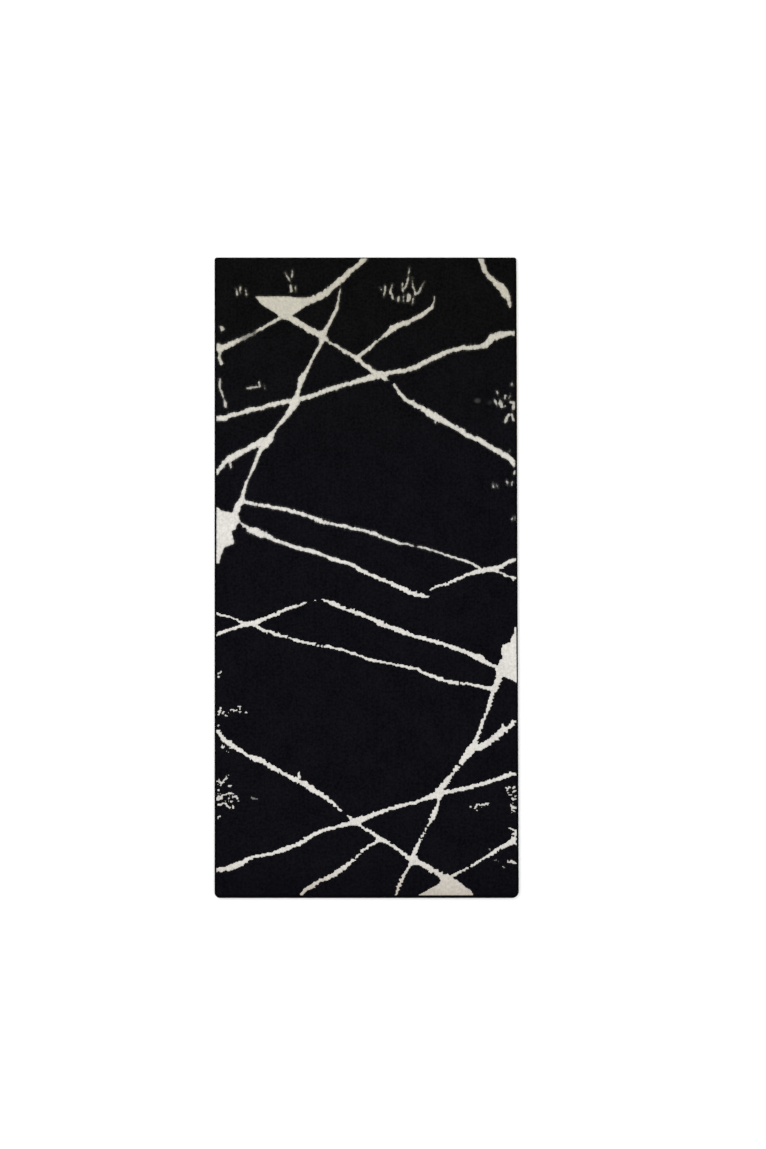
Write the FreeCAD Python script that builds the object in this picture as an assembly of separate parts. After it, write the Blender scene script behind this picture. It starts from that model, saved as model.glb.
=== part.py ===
import FreeCAD, Part
import os

# A runner rug lying flat. +X runs across it, +Y towards its head end, +Z up out of the pile.
# The origin is the middle of the underside. All lengths are in millimetres.

Vector = FreeCAD.Vector

# Driving dimensions
LENGTH = 1690.0
FOOT_WIDTH = 803.0
HEAD_DRAW_IN = 6.5  # the right side leans in by this much at the head end

BACKING_THICKNESS = 1.2
LATEX_THICKNESS = 0.6
CLOTH_THICKNESS = 1.0
PILE_HEIGHT = 5.7

EDGE_HEIGHT = 7.2  # of the bound edge above the floor
CORD_RADIUS = 1.2
CORD_INSET = 1.8  # from the rug's outline to the middle of the edge cord
CLOTH_INSET = 3.2  # the cloth stops here, just inside the cord
EDGE_ROUNDING = 1.6

# Width of the bound edge along each side
EDGE_WIDTH = {"left": 5.5, "right": 5.5, "foot": 8.0, "head": 4.0}

# Rounding of the four corners at the rug's outline
CORNER_RADIUS = {"foot_left": 15.0, "foot_right": 18.0, "head_right": 6.0, "head_left": 6.0}
SMALLEST_ROUNDING = 0.8

BACKING_TOP = BACKING_THICKNESS
LATEX_TOP = BACKING_TOP + LATEX_THICKNESS
CLOTH_TOP = LATEX_TOP + CLOTH_THICKNESS
PILE_TOP = CLOTH_TOP + PILE_HEIGHT
CORD_LEVEL = (BACKING_TOP + CLOTH_TOP) / 2

SMALLEST_FIELD = 40.0  # mm2; a scrap of dark pile under this size is left out
POINT_REACH = 0.01

# The veins of the pattern. Each stroke is a line of (x, y, width), drawn along its middle.
VEINS = {
    "vein_head_upper": [[
        (-172, 723, 23), (-130, 738, 18), (-109, 750, 19), (-88, 768, 14), (-63, 789, 17),
        (-45, 809, 14), (-27, 820, 11), (-6, 838, 12), (1, 847, 12),
    ], [
        (-205, 695, 15), (-229, 684, 9.5), (-311, 638, 7.5), (-323, 632, 11), (-345, 623, 12),
        (-368, 611, 15), (-397, 601, 17),
    ], [
        (-390, 618, 9.5), (-388, 596, 9.5), (-389, 578, 7.5), (-381, 561, 7),
    ]],
    "vein_diagonal_upper": [[
        (-214, 692, 14), (-167, 664, 16), (-134, 646, 16), (-119, 640, 16), (-101, 624, 8.5),
        (-70, 605, 8.5), (-40, 587, 11), (-26, 579, 15), (-7, 564, 10), (16, 545, 12),
        (41, 531, 13), (57, 519, 6),
    ]],
    "vein_steep_upper": [[
        (-70, 764, 3), (-74, 733, 5), (-80, 708, 8.5), (-95, 678, 8.5), (-107, 657, 11),
        (-116, 636, 20), (-122, 614, 10), (-137, 587, 8.5), (-152, 557, 8.5), (-163, 538, 13),
        (-172, 523, 18), (-179, 499, 9.5), (-185, 481, 12), (-189, 462, 24), (-204, 437, 15),
        (-220, 416, 11), (-236, 398, 7), (-245, 386, 11), (-255, 368, 21), (-267, 352, 20),
        (-280, 337, 10), (-289, 316, 8.5), (-299, 289, 10), (-307, 271, 5), (-318, 249, 8.5),
        (-324, 228, 10), (-330, 207, 12), (-341, 186, 17), (-347, 161, 16), (-346, 146, 12),
    ]],
    "vein_long_upper": [[
        (-400, 421, 12), (-375, 422, 16), (-357, 429, 11), (-333, 435, 11), (-306, 442, 14),
        (-282, 446, 10), (-257, 455, 12), (-200, 466, 12), (-157, 476, 12), (-130, 485, 11),
        (-100, 496, 13), (-39, 514, 12), (0, 525, 15), (31, 536, 22), (52, 537, 14),
        (71, 543, 11), (100, 546, 12), (132, 557, 13), (157, 571, 14), (215, 597, 13),
        (247, 605, 12), (298, 609, 12), (314, 615, 17), (330, 632, 19), (352, 642, 21),
        (369, 644, 14), (400, 648, 14),
    ]],
    "vein_branch_upper": [[
        (-24, 580, 12), (-10, 593, 10), (9, 606, 9.5), (22, 620, 7.5), (33, 628, 5),
        (48, 638, 10), (67, 657, 17), (86, 667, 15), (109, 674, 11), (153, 698, 12),
        (173, 713, 9.5), (177, 727, 4), (179, 743, 3),
    ]],
    "vein_head_corner": [[
        (296, 851, 16), (308, 821, 13), (319, 798, 11), (337, 782, 14), (353, 769, 22),
        (365, 750, 20), (375, 731, 12), (380, 713, 5),
    ]],
    "vein_left_upper": [[
        (-258, 368, 15), (-281, 356, 19), (-299, 347, 16), (-317, 338, 13), (-341, 326, 16),
        (-362, 313, 18), (-378, 301, 12), (-388, 286, 9.5), (-400, 269, 8.5),
    ], [
        (-363, 306, 8.5), (-356, 287, 4),
    ]],
    "vein_diagonal_right": [[
        (69, 512, 6), (75, 504, 8), (87, 487, 8), (105, 469, 9.5), (124, 458, 14), (140, 450, 12),
        (156, 440, 15), (182, 425, 20), (214, 408, 13), (252, 385, 13), (278, 372, 11),
        (297, 363, 14), (319, 349, 12), (342, 336, 16), (361, 325, 16), (381, 311, 14),
        (390, 295, 7.5), (391, 286, 5),
    ], [
        (181, 423, 13), (182, 405, 3),
    ], [
        (388, 282, 5), (389, 272, 4),
    ]],
    "vein_middle_upper": [[
        (-331, 202, 10), (-297, 194, 8.5), (-239, 185, 8.5), (-209, 179, 9.5), (-185, 173, 10),
        (-154, 162, 10), (-127, 151, 11), (-103, 144, 8.5), (-73, 138, 7.5), (-48, 133, 9.5),
        (-18, 127, 8.5), (6, 121, 8.5), (26, 114, 10), (52, 103, 9.5), (84, 92, 8.5), (116, 86, 6),
        (127, 84, 4),
    ], [
        (132, 83, 5), (158, 76, 6), (181, 69, 6), (209, 60, 4), (238, 52, 6), (262, 44, 7.5),
        (283, 36, 6), (304, 22, 7.5),
    ], [
        (325, 25, 8.5), (350, 14, 5), (372, 5, 6), (395, -4, 7),
    ]],
    "vein_middle_lower": [[
        (-341, 152, 5), (-326, 139, 6), (-313, 130, 12), (-286, 118, 20), (-261, 109, 15),
        (-237, 97, 10), (-210, 88, 9.5), (-179, 78, 10), (-152, 72, 9.5), (-128, 63, 9.5),
        (-104, 57, 8.5), (-89, 49, 12), (-58, 41, 9.5), (-34, 33, 11), (-21, 24, 14),
        (-3, 14, 7.5), (12, 7, 7.5), (38, -4, 9.5), (67, -15, 9.5), (92, -27, 11), (121, -41, 15),
        (144, -46, 11), (162, -50, 4),
    ]],
    "vein_middle_right": [[
        (166, -33, 4), (185, -22, 7.5), (211, -16, 7), (236, -5, 7.5), (262, 7, 7.5), (288, 15, 11),
        (313, 21, 14), (332, 24, 11), (355, 30, 10), (374, 42, 9.5), (397, 52, 10),
    ]],
    "vein_middle_left": [[
        (-401, -152, 8.5), (-377, -142, 7.5), (-358, -136, 7.5), (-337, -130, 9.5), (-316, -123, 11),
        (-295, -120, 14), (-282, -113, 12), (-268, -107, 8.5), (-243, -98, 9.5), (-222, -87, 9.5),
        (-201, -79, 7.5), (-180, -74, 7), (-160, -65, 5),
    ], [
        (-141, -58, 4), (-135, -58, 4),
    ]],
    "vein_crossing_left": [[
        (-398, -92, 6), (-382, -99, 6), (-366, -103, 4), (-345, -109, 4), (-328, -119, 8), (-316, -125, 7),
    ], [
        (-300, -123, 8.5), (-279, -135, 7), (-258, -143, 9.5), (-236, -150, 7), (-209, -157, 4),
        (-188, -165, 7), (-148, -174, 6), (-126, -180, 7),
    ], [
        (-121, -179, 5), (-101, -182, 7), (-58, -191, 6), (-40, -198, 7), (8, -216, 7),
        (38, -222, 7.5), (70, -228, 6), (102, -235, 7.5), (131, -240, 7.5), (153, -251, 9.5),
        (182, -262, 9.5), (207, -272, 8.5), (239, -278, 7.5), (271, -281, 7), (297, -286, 7.5),
        (319, -292, 10), (338, -292, 11),
    ]],
    "vein_middle_foot": [[
        (-118, -59, 5), (-102, -62, 7.5), (-87, -68, 13), (-62, -79, 9.5), (-41, -86, 10),
        (-23, -94, 11), (-2, -102, 8.5), (18, -110, 8.5), (34, -118, 15), (50, -126, 11),
        (69, -132, 11), (94, -142, 15), (111, -148, 10), (126, -154, 7.5), (149, -160, 9.5),
        (194, -172, 10), (213, -179, 7.5), (238, -187, 11), (261, -196, 10), (283, -206, 16),
        (299, -212, 18), (312, -222, 10), (328, -230, 7.5), (347, -236, 6),
    ]],
    "vein_steep_lower": [[
        (352, -250, 18), (348, -267, 16), (340, -286, 16), (332, -302, 11), (327, -321, 10),
        (322, -340, 10), (316, -356, 6), (310, -370, 7.5), (304, -386, 10), (297, -404, 7.5),
        (290, -424, 9.5), (282, -440, 15), (271, -458, 23), (259, -474, 17), (247, -490, 12),
    ], [
        (241, -496, 12), (235, -506, 11), (226, -517, 4), (216, -530, 13), (203, -546, 15),
        (191, -562, 18), (182, -574, 18),
    ], [
        (191, -572, 13), (190, -585, 9.5), (187, -599, 7), (183, -611, 12), (175, -628, 14),
        (166, -647, 4), (153, -669, 5), (140, -695, 7), (132, -712, 12), (126, -727, 11),
        (123, -740, 19), (112, -762, 7.5), (102, -778, 7), (92, -797, 10), (86, -810, 7.5),
        (75, -840, 5),
    ]],
    "vein_right_lower": [[
        (274, -450, 17), (298, -447, 18), (320, -435, 14), (340, -420, 17), (358, -405, 18),
        (374, -394, 9.5), (394, -375, 13),
    ], [
        (356, -382, 4), (364, -402, 8.5),
    ]],
    "vein_long_lower": [[
        (398, -518, 7.5), (378, -518, 13), (353, -528, 10), (314, -541, 11), (289, -547, 7.5),
        (263, -555, 10), (212, -565, 11), (180, -573, 16), (154, -582, 10), (129, -592, 8.5),
        (90, -601, 10), (58, -611, 8.5), (26, -622, 10), (-4, -634, 14), (-26, -641, 18),
        (-51, -650, 11), (-85, -658, 7.5), (-118, -667, 10), (-145, -680, 11), (-169, -697, 12),
        (-194, -708, 9.5), (-218, -717, 12), (-248, -727, 8.5), (-279, -732, 7.5),
        (-309, -739, 9.5), (-330, -752, 15), (-351, -761, 17), (-370, -768, 13), (-398, -771, 11),
    ]],
    "vein_diagonal_left": [[
        (-396, -399, 4), (-384, -416, 12), (-373, -430, 12), (-353, -443, 14), (-326, -460, 10),
        (-299, -475, 13), (-278, -483, 10), (-253, -498, 13), (-235, -507, 10),
        (-211, -520, 10), (-187, -534, 14), (-162, -545, 14), (-141, -560, 13),
        (-120, -571, 12), (-102, -583, 10), (-84, -598, 7), (-65, -617, 5),
    ], [
        (-178, -530, 10), (-178, -513, 4), (-170, -509, 2),
    ]],
    "vein_diagonal_lower": [[
        (-52, -627, 3), (-40, -635, 9.5), (-25, -646, 11), (-12, -657, 7.5), (4, -666, 7.5),
        (23, -678, 10), (34, -688, 12), (58, -699, 8.5), (84, -718, 8.5), (106, -734, 10),
        (121, -744, 19), (142, -752, 15), (167, -768, 14), (193, -782, 13), (214, -795, 15),
    ]],
    "vein_foot_right": [[
        (208, -795, 12), (236, -781, 7), (262, -768, 5), (291, -751, 6), (313, -738, 5),
        (326, -730, 8.5), (349, -714, 9.5), (371, -703, 12), (388, -694, 18), (394, -692, 20),
    ], [
        (392, -690, 8.5), (394, -672, 5), (386, -663, 4), (374, -660, 3),
    ], [
        (380, -677, 4), (394, -675, 5),
    ]],
    "vein_branch_lower": [[
        (35, -689, 11), (16, -702, 7.5), (-9, -717, 7), (-24, -734, 4), (-39, -748, 8.5),
        (-60, -764, 12), (-82, -780, 13), (-106, -792, 9.5), (-124, -799, 8.5), (-145, -813, 10),
        (-164, -825, 9.5), (-179, -843, 5),
    ]],
}

# The four broad patches, each by its outline
PATCHES = {
    "patch_head_wedge": [
        (-296, 742), (-200, 741), (-150, 738), (-160, 716), (-189, 696), (-218, 679),
        (-236, 694), (-279, 722),
    ],
    "patch_left": [
        (-398, 188), (-385, 179), (-357, 171), (-340, 176), (-333, 149), (-343, 139),
        (-346, 125), (-356, 125), (-352, 102), (-350, 90), (-375, 80), (-383, 62),
        (-389, 38), (-398, 36),
    ],
    "patch_right": [
        (398, -126), (389, -131), (386, -151), (381, -160), (378, -170), (356, -179),
        (357, -188), (354, -199), (359, -212), (351, -217), (348, -227), (340, -240),
        (342, -258), (356, -259), (366, -263), (382, -269), (393, -276), (398, -286),
    ],
    "patch_foot_wedge": [
        (136, -840), (136, -837), (192, -806), (195, -799), (191, -791), (212, -780),
        (231, -795), (237, -795), (262, -816), (275, -825), (282, -837), (282, -840),
    ],
}

# Loose marks, each a short stroke like those of the veins
FLECKS = {
    "flecks_head": [
        [(-345, 762, 4), (-341, 742, 5)], [(-335, 768, 5), (-332, 747, 5)],
        [(-321, 762, 5), (-315, 744, 5)], [(-385, 665, 8), (-379, 650, 11)],
        [(-215, 806, 5), (-201, 779, 5)], [(-197, 813, 5), (-197, 789, 7)],
        [(-200, 773, 8), (-198, 752, 8)], [(-187, 772, 3), (-187, 752, 4)],
        [(34, 769, 3), (42, 755, 3)], [(50, 771, 5), (45, 739, 4)],
        [(68, 774, 4), (62, 755, 7), (71, 732, 5)], [(84, 745, 6), (82, 726, 5)],
        [(93, 779, 4), (97, 752, 5)], [(113, 822, 2), (110, 790, 5), (101, 764, 6)],
        [(119, 792, 3), (122, 764, 5), (130, 745, 5)], [(153, 781, 4), (142, 761, 6), (131, 745, 5)],
        [(124, 740, 5), (121, 723, 4)], [(97, 746, 6), (98, 728, 5)], [(112, 750, 8), (110, 727, 12)],
    ],
    "flecks_left": [
        [(-386, 526, 6), (-387, 500, 5), (-377, 478, 5), (-372, 464, 8), (-373, 449, 11)],
        [(-318, 500, 4), (-297, 502, 5), (-286, 504, 6)], [(-284, 518, 6), (-282, 500, 6)],
        [(-272, 510, 4), (-268, 497, 4)],
        [(-384, -247, 5), (-393, -255, 5)], [(-393, -262, 4), (-388, -262, 4)],
        [(-384, -343, 5), (-391, -363, 5)],
        [(-382, -349, 5), (-379, -357, 5), (-370, -364, 6), (-364, -352, 3)],
        [(-359, -348, 4), (-345, -350, 5), (-334, -354, 5), (-333, -344, 6), (-339, -338, 6)],
        [(-320, -353, 5), (-316, -357, 5)], [(-392, -385, 5), (-389, -391, 6)],
        [(-383, -441, 6), (-376, -448, 8)], [(-371, -457, 5), (-368, -461, 5)],
        [(-364, -519, 4), (-374, -533, 6), (-385, -545, 9), (-392, -531, 5)],
        [(-366, -547, 4), (-357, -550, 4)], [(-394, -561, 5), (-389, -561, 4)],
        [(-394, -570, 4), (-388, -571, 4)], [(-395, -583, 12), (-379, -577, 7)],
        [(-376, -573, 4), (-360, -567, 5), (-352, -571, 4)],
        [(-364, -577, 4), (-343, -577, 5), (-338, -589, 4)],
        [(-366, -583, 5), (-360, -591, 5), (-350, -585, 6)],
        [(-392, -600, 4), (-377, -593, 5)], [(-373, -589, 4), (-370, -601, 5), (-360, -607, 5)],
        [(-354, -601, 5), (-347, -611, 7)], [(-393, -631, 5), (-385, -628, 6)],
        [(-310, -580, 4), (-285, -585, 4)],
    ],
    "flecks_right": [
        [(384, 518, 5), (384, 504, 6)], [(343, 496, 5), (346, 483, 4)],
        [(366, 483, 6), (364, 469, 6)], [(353, 473, 7), (353, 459, 10), (357, 448, 7)],
        [(336, 472, 5), (342, 460, 8), (345, 452, 5)], [(360, 454, 5), (369, 455, 4)],
        [(380, 481, 4), (376, 471, 5)], [(375, 462, 8), (388, 466, 11), (387, 442, 7)],
        [(376, 434, 8), (363, 408, 6)], [(381, 434, 6), (388, 413, 6)], [(378, 337, 4), (377, 330, 5)],
        [(332, 250, 4), (335, 233, 5)], [(341, 249, 4), (346, 238, 4)],
        [(367, 258, 4), (373, 246, 8)], [(385, 258, 4), (381, 238, 4)],
        [(381, 152, 6), (386, 160, 6)], [(391, 162, 4), (391, 150, 4)],
        [(381, -548, 4), (366, -555, 6), (375, -563, 5)], [(393, -549, 5), (384, -557, 6)],
        [(369, -566, 4), (378, -573, 5), (386, -566, 5), (394, -559, 4)],
        [(381, -578, 5), (388, -588, 5), (393, -573, 4)], [(383, -594, 5), (381, -603, 5)],
        [(381, -603, 6), (394, -607, 7)], [(381, -614, 4), (390, -615, 4)],
        [(271, -602, 5), (276, -609, 5)],
        [(291, -614, 4), (285, -608, 5), (289, -598, 5), (299, -600, 5), (324, -595, 4)],
        [(323, -713, 5), (327, -717, 5)],
        [(339, -744, 4), (350, -749, 3)], [(369, -747, 7), (382, -748, 6), (394, -755, 4)],
        [(360, -762, 6), (365, -764, 5)],
    ],
}


# Short lines where two dark fields meet in the gap between two vein ends
SEAMS = [
    [(-70, 758), (-79, 780)], [(379, 716), (394, 712)], [(50, 526), (76, 503)],
    [(388, 276), (400, 274)], [(110, 88), (140, 81)], [(159, -49), (170, -30)],
    [(-166, -67), (-139, -58)], [(-137, -58), (-116, -60)], [(-134, -181), (-115, -179)],
    [(252, -486), (242, -498)], [(-70, -612), (-47, -631)],
]

# The dark fields, each named with one point inside every area of pile that it covers
DARK_FIELDS = {
    "dark_head_left": [(-300, 790)],
    "dark_head_middle": [(250, 720)],
    "dark_head_triangles": [(-120, 700), (-93, 549), (360, 802)],
    "dark_left_upper": [(-270, 555)],
    "dark_left_nooks": [(-319, 390), (-351, 256), (-373, -119)],
    "dark_right_upper": [(300, 500)],
    "dark_centre_upper": [(62, 273)],
    "dark_middle_upper": [(0, 60)],
    "dark_middle": [(-200, 0)],
    "dark_middle_lower": [(24, -170)],
    "dark_centre_lower": [(-63, -373)],
    "dark_right_nooks": [(377, 23), (320, -486), (353, -345)],
    "dark_left_lower": [(-272, -610)],
    "dark_right_lower": [(272, -656)],
    "dark_foot_left": [(-189, -758)],
    "dark_foot_triangles": [(97, -651), (136, -802), (1, -783)],
    "dark_foot_right": [(333, -784)],
}


def corner_point(name, inset):
    """One corner of the rug's outline, moved inwards by the inset of the two sides it joins."""
    end, side = name.split("_")
    y = -LENGTH / 2 + inset["foot"] if end == "foot" else LENGTH / 2 - inset["head"]
    draw_in = HEAD_DRAW_IN * (y + LENGTH / 2) / LENGTH
    x = -FOOT_WIDTH / 2 + inset["left"] if side == "left" else FOOT_WIDTH / 2 - draw_in - inset["right"]
    return Vector(x, y, 0)


def same_inset(distance):
    return {side: distance for side in EDGE_WIDTH}


def slab(inset, bottom, top):
    """A flat layer in the rug's outline, drawn in from each side by its inset."""
    corners = [corner_point(name, inset) for name in CORNER_RADIUS]
    solid = Part.Face(Part.makePolygon(corners + corners[:1])).extrude(Vector(0, 0, top - bottom))
    for name, corner in zip(CORNER_RADIUS, corners):
        end, side = name.split("_")
        radius = CORNER_RADIUS[name] - (inset[end] + inset[side]) / 2
        upright = [
            edge for edge in solid.Edges
            if edge.CenterOfMass.distanceToPoint(corner + Vector(0, 0, (top - bottom) / 2)) < 1e-3
        ]
        solid = solid.makeFillet(max(radius, SMALLEST_ROUNDING), upright)
    solid.translate(Vector(0, 0, bottom))
    return solid


def stroke_face(points):
    """The flat outline of a stroke: its two sides lie half its width to either side of its line."""
    middle = [Vector(x, y, 0) for x, y, width in points]
    steps = [(end - start).normalize() for start, end in zip(middle, middle[1:])]
    left = []
    right = []
    for i, (x, y, width) in enumerate(points):
        before = steps[max(i - 1, 0)]
        after = steps[min(i, len(steps) - 1)]
        along = (before + after).normalize()
        across = Vector(-along.y, along.x, 0) * (width / 2)
        left.append(middle[i] + across)
        right.append(middle[i] - across)
    outline = left + right[::-1]
    return Part.Face(Part.makePolygon(outline + outline[:1]))


def outline_face(points):
    corners = [Vector(x, y, 0) for x, y in points]
    return Part.Face(Part.makePolygon(corners + corners[:1]))


def joined(faces):
    """Overlapping flat faces as one, with the seams between them taken out."""
    whole = faces[0].multiFuse(faces[1:]) if len(faces) > 1 else faces[0]
    return whole.removeSplitter()


def raised(shape, bottom, top):
    """Each face of a flat shape, as a prism between two levels."""
    prisms = [face.extrude(Vector(0, 0, top - bottom)) for face in shape.Faces]
    solid = Part.makeCompound(prisms)
    solid.translate(Vector(0, 0, bottom))
    return solid


def export(shape, name):
    solids = shape.Solids
    whole = solids[0] if len(solids) == 1 else Part.makeCompound(solids)
    whole.exportStep(f"parts/{name}.step")
    print(f"{name:26s} {len(solids):3d} solids {whole.Volume / 1000:9.2f} cm3 valid {whole.isValid()}")


def make_layers():
    """The three sheets under the pile. The lower cloth stops at the bound edge; the others run into it."""
    return {
        "backing_cloth": slab(EDGE_WIDTH, 0, BACKING_TOP),
        "latex_coat": slab(same_inset(CLOTH_INSET), BACKING_TOP, LATEX_TOP),
        "ground_cloth": slab(same_inset(CLOTH_INSET), LATEX_TOP, CLOTH_TOP),
    }


def cord_run(start, end):
    return Part.makeCylinder(CORD_RADIUS, start.distanceToPoint(end), start, end - start)


def cord_turn(centre, start):
    """A quarter turn of cord about a corner, from a point on its first side."""
    section = Part.Face(Part.Wire(Part.makeCircle(CORD_RADIUS, start, Vector(0, 0, 1).cross(start - centre))))
    return section.revolve(centre, Vector(0, 0, 1), 90)


def make_cords():
    """The filler cord inside the bound edge: four runs, the two end runs turning the corners."""
    corner = {name: corner_point(name, same_inset(CORD_INSET)) for name in CORNER_RADIUS}
    reach = {name: CORNER_RADIUS[name] - CORD_INSET for name in CORNER_RADIUS}
    level = Vector(0, 0, CORD_LEVEL)
    towards = {
        "left": Vector(1, 0, 0),
        "right": Vector(-1, 0, 0),
        "foot": Vector(0, 1, 0),
        "head": Vector(0, -1, 0),
    }
    on_end = {}
    on_side = {}
    turns = {}
    for name, point in corner.items():
        end, side = name.split("_")
        centre = point + (towards[side] + towards[end]) * reach[name] + level
        on_end[name] = centre - towards[end] * reach[name]
        on_side[name] = centre - towards[side] * reach[name]
        first_is_side = name in ("foot_left", "head_right")
        turns[name] = cord_turn(centre, on_side[name] if first_is_side else on_end[name])
    cords = {}
    for end in ("foot", "head"):
        run = cord_run(on_end[f"{end}_left"], on_end[f"{end}_right"])
        cords[f"edge_cord_{end}"] = run.multiFuse([turns[f"{end}_left"], turns[f"{end}_right"]])
    for side in ("left", "right"):
        cords[f"edge_cord_{side}"] = cord_run(on_side[f"foot_{side}"], on_side[f"head_{side}"])
    return cords


def make_serging(fillings):
    """The overlock yarn round the edge, hollow where the cord and the cloth run through it."""
    outer = slab(same_inset(0), 0, EDGE_HEIGHT)
    rims = [edge for edge in outer.Edges if abs(edge.CenterOfMass.z - EDGE_HEIGHT) < 1e-3]
    ring = outer.makeFillet(EDGE_ROUNDING, rims).cut(slab(EDGE_WIDTH, 0, EDGE_HEIGHT))
    ring = ring.cut(fillings)
    pieces = {}
    for name, radius in CORNER_RADIUS.items():
        end, side = name.split("_")
        reach = max(radius, EDGE_WIDTH[end], EDGE_WIDTH[side]) + EDGE_ROUNDING
        corner = corner_point(name, same_inset(0))
        x = corner.x if side == "left" else corner.x - reach
        y = corner.y if end == "foot" else corner.y - reach
        block = Part.makeBox(reach, reach, EDGE_HEIGHT, Vector(x, y, 0))
        pieces[f"corner_wrap_{name}"] = ring.common(block)
        ring = ring.cut(block)
    for side, pick in (
        ("left", lambda s: s.CenterOfMass.x < -FOOT_WIDTH / 4),
        ("right", lambda s: s.CenterOfMass.x > FOOT_WIDTH / 4),
        ("foot", lambda s: s.CenterOfMass.y < -LENGTH / 4),
        ("head", lambda s: s.CenterOfMass.y > LENGTH / 4),
    ):
        run = [s for s in ring.Solids if pick(s)]
        pieces[f"serging_{side}"] = Part.makeCompound(run)
    return pieces


def make_pile():
    """The cut pile: pale patches, veins and flecks, then the dark fields left between them."""
    field = slab(EDGE_WIDTH, 0, 1).Faces
    field = [face for face in field if abs(face.CenterOfMass.z) < 1e-6][0]
    pale = {name: outline_face(points) for name, points in PATCHES.items()}
    for name, strokes in {**VEINS, **FLECKS}.items():
        pale[name] = joined([stroke_face(points) for points in strokes])
    taken = []
    pieces = {}
    for name, shape in pale.items():
        shape = shape.common(field)
        if taken:
            shape = shape.cut(taken)
        taken.append(shape)
        pieces[name] = shape
    seams = [Part.makeLine(Vector(*start), Vector(*end)) for start, end in SEAMS]
    dark, _ = field.cut(taken).generalFuse(seams)
    named = []
    for name, places in DARK_FIELDS.items():
        areas = [
            face for face in dark.Faces
            if any(face.isInside(Vector(x, y, 0), POINT_REACH, True) for x, y in places)
        ]
        if len(areas) != len(places):
            raise ValueError(f"{name} has {len(areas)} areas of pile, not {len(places)}")
        named += areas
        pieces[name] = Part.makeCompound(areas)
    left_out = sum(face.Area for face in dark.Faces) - sum(face.Area for face in named)
    if abs(left_out) > SMALLEST_FIELD:
        raise ValueError(f"the named dark fields miss or repeat {left_out:.0f} mm2 of pile")
    return pieces


def main():
    os.makedirs("parts", exist_ok=True)
    layers = make_layers()
    cords = make_cords()
    fillings = [layers["latex_coat"], layers["ground_cloth"]] + list(cords.values())
    for name, shape in {**layers, **cords, **make_serging(fillings)}.items():
        export(shape, name)
    for name, shape in make_pile().items():
        export(raised(shape, CLOTH_TOP, PILE_TOP), name)


main()
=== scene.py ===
# %% Open the frame
import math

import bpy
import numpy as np
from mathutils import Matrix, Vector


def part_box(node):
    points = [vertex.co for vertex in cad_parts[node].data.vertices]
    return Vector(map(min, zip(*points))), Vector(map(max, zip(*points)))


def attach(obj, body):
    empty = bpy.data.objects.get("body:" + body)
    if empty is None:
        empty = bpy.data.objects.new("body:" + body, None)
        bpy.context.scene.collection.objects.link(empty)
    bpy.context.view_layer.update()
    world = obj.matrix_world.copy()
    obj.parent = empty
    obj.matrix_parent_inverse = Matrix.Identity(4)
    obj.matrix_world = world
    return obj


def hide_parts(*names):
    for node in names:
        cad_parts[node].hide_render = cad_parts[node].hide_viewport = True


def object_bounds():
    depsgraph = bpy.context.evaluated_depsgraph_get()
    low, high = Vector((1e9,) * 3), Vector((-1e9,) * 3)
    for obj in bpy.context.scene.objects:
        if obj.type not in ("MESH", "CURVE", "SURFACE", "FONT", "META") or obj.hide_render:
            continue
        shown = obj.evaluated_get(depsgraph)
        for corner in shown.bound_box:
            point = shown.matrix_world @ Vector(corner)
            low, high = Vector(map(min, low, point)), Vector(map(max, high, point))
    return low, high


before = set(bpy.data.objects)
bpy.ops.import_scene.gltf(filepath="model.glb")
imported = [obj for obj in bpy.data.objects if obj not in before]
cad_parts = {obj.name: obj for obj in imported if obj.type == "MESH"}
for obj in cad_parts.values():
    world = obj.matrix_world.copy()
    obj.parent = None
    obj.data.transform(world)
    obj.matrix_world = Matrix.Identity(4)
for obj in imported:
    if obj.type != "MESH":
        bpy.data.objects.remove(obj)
cad_low, cad_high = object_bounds()
print("CAD box:", [round(v, 4) for v in (*cad_low, *cad_high)])

# %% [markdown]
# # A cut-pile runner rug
# A runner is a stack of thin layers. A backing cloth lies on the floor, a film of latex glues it to
# the ground cloth, and the yarn stands up out of the ground cloth in small tufts. A cord and a
# wrapping of yarn bind the edge. The frame already says where each layer is, so every position
# below is read from it, and each layer gets the surface that the real one has.
#
# Each visible shape is a mesh made with numpy. That is faster than modelling thousands of tufts
# one by one, and one seeded generator makes the same rug every time.

# %% Measure the frame
random = np.random.default_rng(41)
MM = 0.001
PATTERN_NODES = sorted(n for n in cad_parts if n.startswith(("vein_", "patch_", "flecks_")))
DARK_NODES = sorted(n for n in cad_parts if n.startswith("dark_"))
field_low, field_high = (np.array(p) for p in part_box("backing_cloth"))
cloth_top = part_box("ground_cloth")[1].z
pile_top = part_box("dark_middle")[1].z
corners = {
    "foot_left": np.array((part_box("corner_wrap_foot_left")[0].x, cad_low[1])),
    "foot_right": np.array((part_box("corner_wrap_foot_right")[1].x, cad_low[1])),
    "head_right": np.array((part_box("corner_wrap_head_right")[1].x, cad_high[1])),
    "head_left": np.array((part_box("corner_wrap_head_left")[0].x, cad_high[1])),
}
CORNER_RADIUS = {"foot_left": 15 * MM, "foot_right": 18 * MM, "head_right": 6 * MM, "head_left": 6 * MM}
OUTWARD = {
    "foot": np.array((0.0, -1.0)), "head": np.array((0.0, 1.0)),
    "left": np.array((-1.0, 0.0)), "right": np.array((1.0, 0.0)),
}
lean_in = corners["foot_right"][0] - corners["head_right"][0]
edge_width = {
    "left": field_low[0] - corners["foot_left"][0],
    "right": corners["foot_right"][0] - field_high[0],
    "foot": field_low[1] - cad_low[1],
    "head": cad_high[1] - field_high[1],
}
print("pile nodes:", len(PATTERN_NODES), "pale,", len(DARK_NODES), "dark")
print("bound edge widths in mm:", {side: round(w / MM, 1) for side, w in edge_width.items()})


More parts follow.
